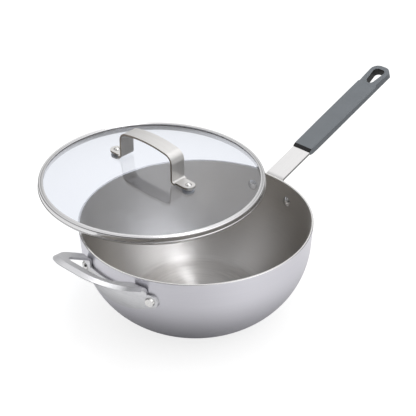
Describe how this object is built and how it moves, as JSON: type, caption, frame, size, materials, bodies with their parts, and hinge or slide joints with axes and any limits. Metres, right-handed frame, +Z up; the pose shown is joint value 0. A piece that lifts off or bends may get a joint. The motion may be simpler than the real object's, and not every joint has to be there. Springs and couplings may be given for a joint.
{
  "type": "saucier pan",
  "caption": "Stainless saucier pan with long handle, helper handle and a domed glass lid laid on its rim, a little to one side.",
  "frame": {"origin": "centre of the pan's flat base, on the surface it stands on", "axes": "+X along the long handle, away from the pan; the helper handle points to -X; +Z up; the lid lies towards +Y"},
  "size_m": [0.4903, 0.3275, 0.1642],
  "materials": {
    "brushed_steel_body": "brushed round the pan's axis",
    "satin_steel": "fine satin",
    "polished_steel": "polished",
    "grip_grey": "matt silicone",
    "lid_glass": "clear tempered",
    "seal_brown": "matt silicone"
  },
  "bodies": {
    "pan": {"pan_body": "brushed_steel_body", "handle_strap": "satin_steel", "handle_grip": "grip_grey", "handle_rivets": "polished_steel", "helper_handle": "satin_steel", "helper_rivets": "polished_steel"},
    "lid": {"lid_glass": "lid_glass", "lid_ring": "polished_steel", "lid_seal": "seal_brown", "lid_handle": "satin_steel", "lid_rivets": "polished_steel", "lid_spacers": "polished_steel", "lid_sleeves": "seal_brown", "lid_soft_washers": "seal_brown", "lid_washers": "polished_steel"}
  },
  "joints": [
    {"name": "lid_lift", "type": "slide", "parent": "pan", "child": "lid", "axis": [0, 0, 1], "range_m": [0, 0.12]}
  ]
}
